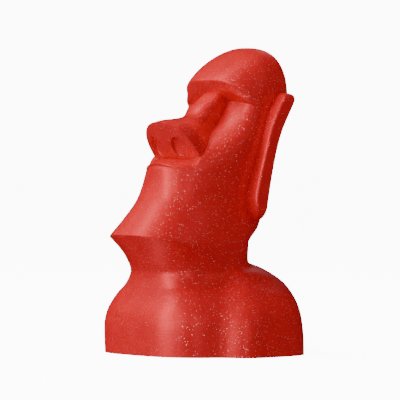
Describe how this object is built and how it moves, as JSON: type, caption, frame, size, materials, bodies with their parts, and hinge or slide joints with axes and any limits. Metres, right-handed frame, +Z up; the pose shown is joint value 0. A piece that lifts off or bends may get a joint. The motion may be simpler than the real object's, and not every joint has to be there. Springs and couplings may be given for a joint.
{
  "type": "moai bust statuette",
  "caption": "Desk-sized plastic moai bust: head tilted back, heavy brow, broad upturned nose, long ears, shoulders cut flat below.",
  "frame": {"origin": "middle of the underside", "axes": "+Z up, the face towards -Y, +X towards the bust's own left ear"},
  "size_m": [0.073, 0.058, 0.1],
  "materials": {
    "red_glitter_plastic": "satin, faint print lines, fine glitter"
  },
  "bodies": {
    "root": {"moai_bust": "red_glitter_plastic"}
  },
  "joints": []
}
